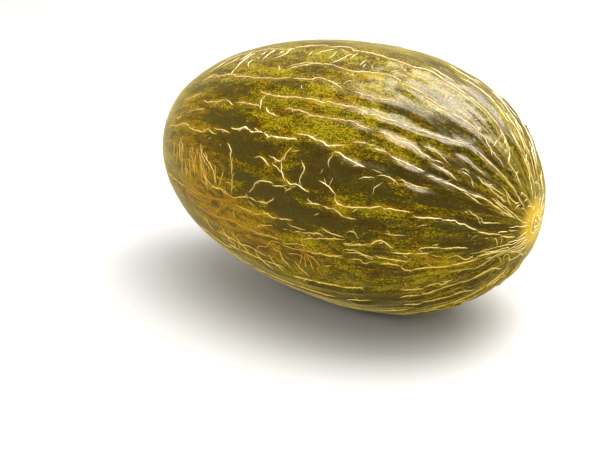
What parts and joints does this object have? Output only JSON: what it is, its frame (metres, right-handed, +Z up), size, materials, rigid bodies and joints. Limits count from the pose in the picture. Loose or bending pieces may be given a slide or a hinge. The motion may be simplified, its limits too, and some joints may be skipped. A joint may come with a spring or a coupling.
{
  "type": "melon",
  "caption": "Whole long oval melon lying on its side, with low lengthwise ridges and a raised net of cork cracks on its rind.",
  "frame": {"origin": "middle of the bounding box's base, on the surface that the melon rests on", "axes": "+X along the melon, from its stem end to its blossom end; +Z up; -Y is the side that faces the picture's camera"},
  "size_m": [0.2674, 0.169, 0.167],
  "materials": {
    "rind": "waxy green rind, mottled, with cream cork cracks"
  },
  "bodies": {
    "root": {"melon": "rind"}
  },
  "joints": []
}
